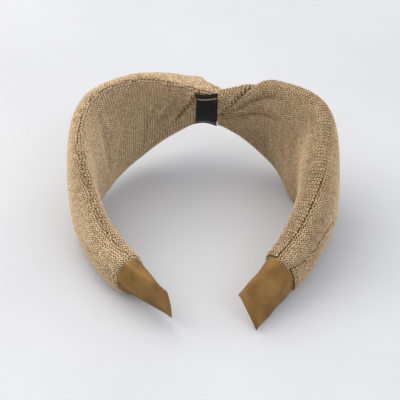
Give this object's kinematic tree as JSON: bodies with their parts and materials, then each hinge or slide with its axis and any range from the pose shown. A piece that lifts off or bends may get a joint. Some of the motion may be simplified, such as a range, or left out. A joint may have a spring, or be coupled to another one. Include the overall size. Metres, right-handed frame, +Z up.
{
  "type": "knotted headband",
  "caption": "Wide padded headband with a knotted crown, knit cover and lining, springy core, satin covered tips and a plain woven label.",
  "frame": {"origin": "middle of the bottom of the overall box, on the table the headband lies on", "axes": "+Z up from the table, +Y from the tips towards the knotted crown, +X to the right seen from the tips"},
  "size_m": [0.1434, 0.1574, 0.069],
  "materials": {
    "cover_knit": "matte",
    "lining_knit": "matte",
    "satin": "satin",
    "foam_wadding": "matte",
    "core_plastic": "satin",
    "sewing_thread": "matte",
    "label_weave": "satin",
    "label_thread": "matte"
  },
  "bodies": {
    "crown": {"core_crown": "core_plastic", "crown_left_lining": "lining_knit", "crown_left_outer_cover": "cover_knit", "crown_left_seam_thread": "sewing_thread", "crown_right_lining": "lining_knit", "crown_right_outer_cover": "cover_knit", "crown_right_seam_thread": "sewing_thread", "knot_left_fold": "cover_knit", "knot_right_fold": "cover_knit", "knot_tacking_stitches": "sewing_thread", "label_stitches": "label_thread", "wadding_crown": "foam_wadding", "woven_label": "label_weave"},
    "left_arm": {"core_left_arm": "core_plastic", "left_arm_lining": "lining_knit", "left_arm_outer_cover": "cover_knit", "left_arm_seam_thread": "sewing_thread", "left_satin_tip": "satin", "left_tip_stitches": "sewing_thread", "left_tip_wadding": "foam_wadding", "wadding_left_arm": "foam_wadding"},
    "right_arm": {"core_right_arm": "core_plastic", "right_arm_lining": "lining_knit", "right_arm_outer_cover": "cover_knit", "right_arm_seam_thread": "sewing_thread", "right_satin_tip": "satin", "right_tip_stitches": "sewing_thread", "right_tip_wadding": "foam_wadding", "wadding_right_arm": "foam_wadding"}
  },
  "joints": [
    {"name": "left_arm_flex", "type": "hinge", "parent": "crown", "child": "left_arm", "pos_m": [-0.04731, 0.05647, 0.03961], "axis": [0, 0.209, -0.9779], "range_deg": [0, 14], "stiffness_Nm_per_rad": 1.2},
    {"name": "right_arm_flex", "type": "hinge", "parent": "crown", "child": "right_arm", "pos_m": [0.04731, 0.05647, 0.03961], "axis": [0, -0.209, 0.9779], "range_deg": [0, 14], "stiffness_Nm_per_rad": 1.2}
  ]
}
